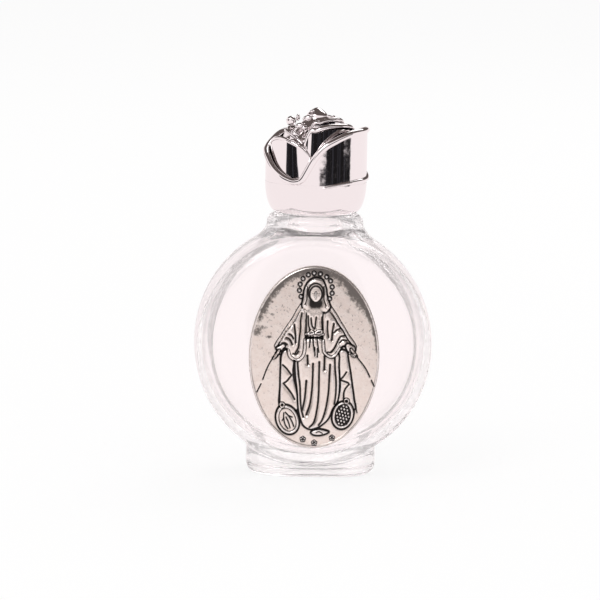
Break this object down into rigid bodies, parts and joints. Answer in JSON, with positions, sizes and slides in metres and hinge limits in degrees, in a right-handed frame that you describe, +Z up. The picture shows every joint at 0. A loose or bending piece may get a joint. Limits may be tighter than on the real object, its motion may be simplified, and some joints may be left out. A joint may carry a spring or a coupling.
{
  "type": "holy water bottle",
  "caption": "Flat round glass flask on an oval foot with an oval relief medal on its front and a rose-shaped metal screw cap, for carrying holy water.",
  "frame": {"origin": "centre of the foot's flat underside, on the neck's axis", "axes": "+Z up along the neck, -Y out of the front face that carries the medal, +X to the right seen from the front"},
  "size_m": [0.042, 0.0229, 0.065],
  "materials": {
    "clear_glass": "clear, very faint pink tint, fire-polished",
    "antique_silver": "antique silver plate, dark in the grooves and bright on the raised folds",
    "clear_glue": "clear cured adhesive",
    "natural_plastic": "soft natural polyethylene",
    "seal_foam": "soft closed-cell foam",
    "liner_plastic": "moulded white plastic",
    "chrome_plate": "bright chrome plate"
  },
  "bodies": {
    "bottle": {"glass_bottle": "clear_glass", "front_medal": "antique_silver", "glue_pad": "clear_glue", "drip_plug": "natural_plastic"},
    "seal": {"sealing_disc": "seal_foam"},
    "cap": {"rose_cap_shell": "chrome_plate", "threaded_liner": "liner_plastic"}
  },
  "joints": [
    {"name": "cap_rise", "type": "slide", "parent": "bottle", "child": "seal", "axis": [0, 0, 1], "range_m": [0, 0.0106]},
    {"name": "cap_turn", "type": "hinge", "parent": "seal", "child": "cap", "pos_m": [0, 0, 0.05], "axis": [0, 0, 1], "range_deg": [0, 1800]}
  ],
  "couplings": [
    {"joint": "cap_rise", "follows": "cap_turn", "m_per_rad": 0.00033423}
  ]
}
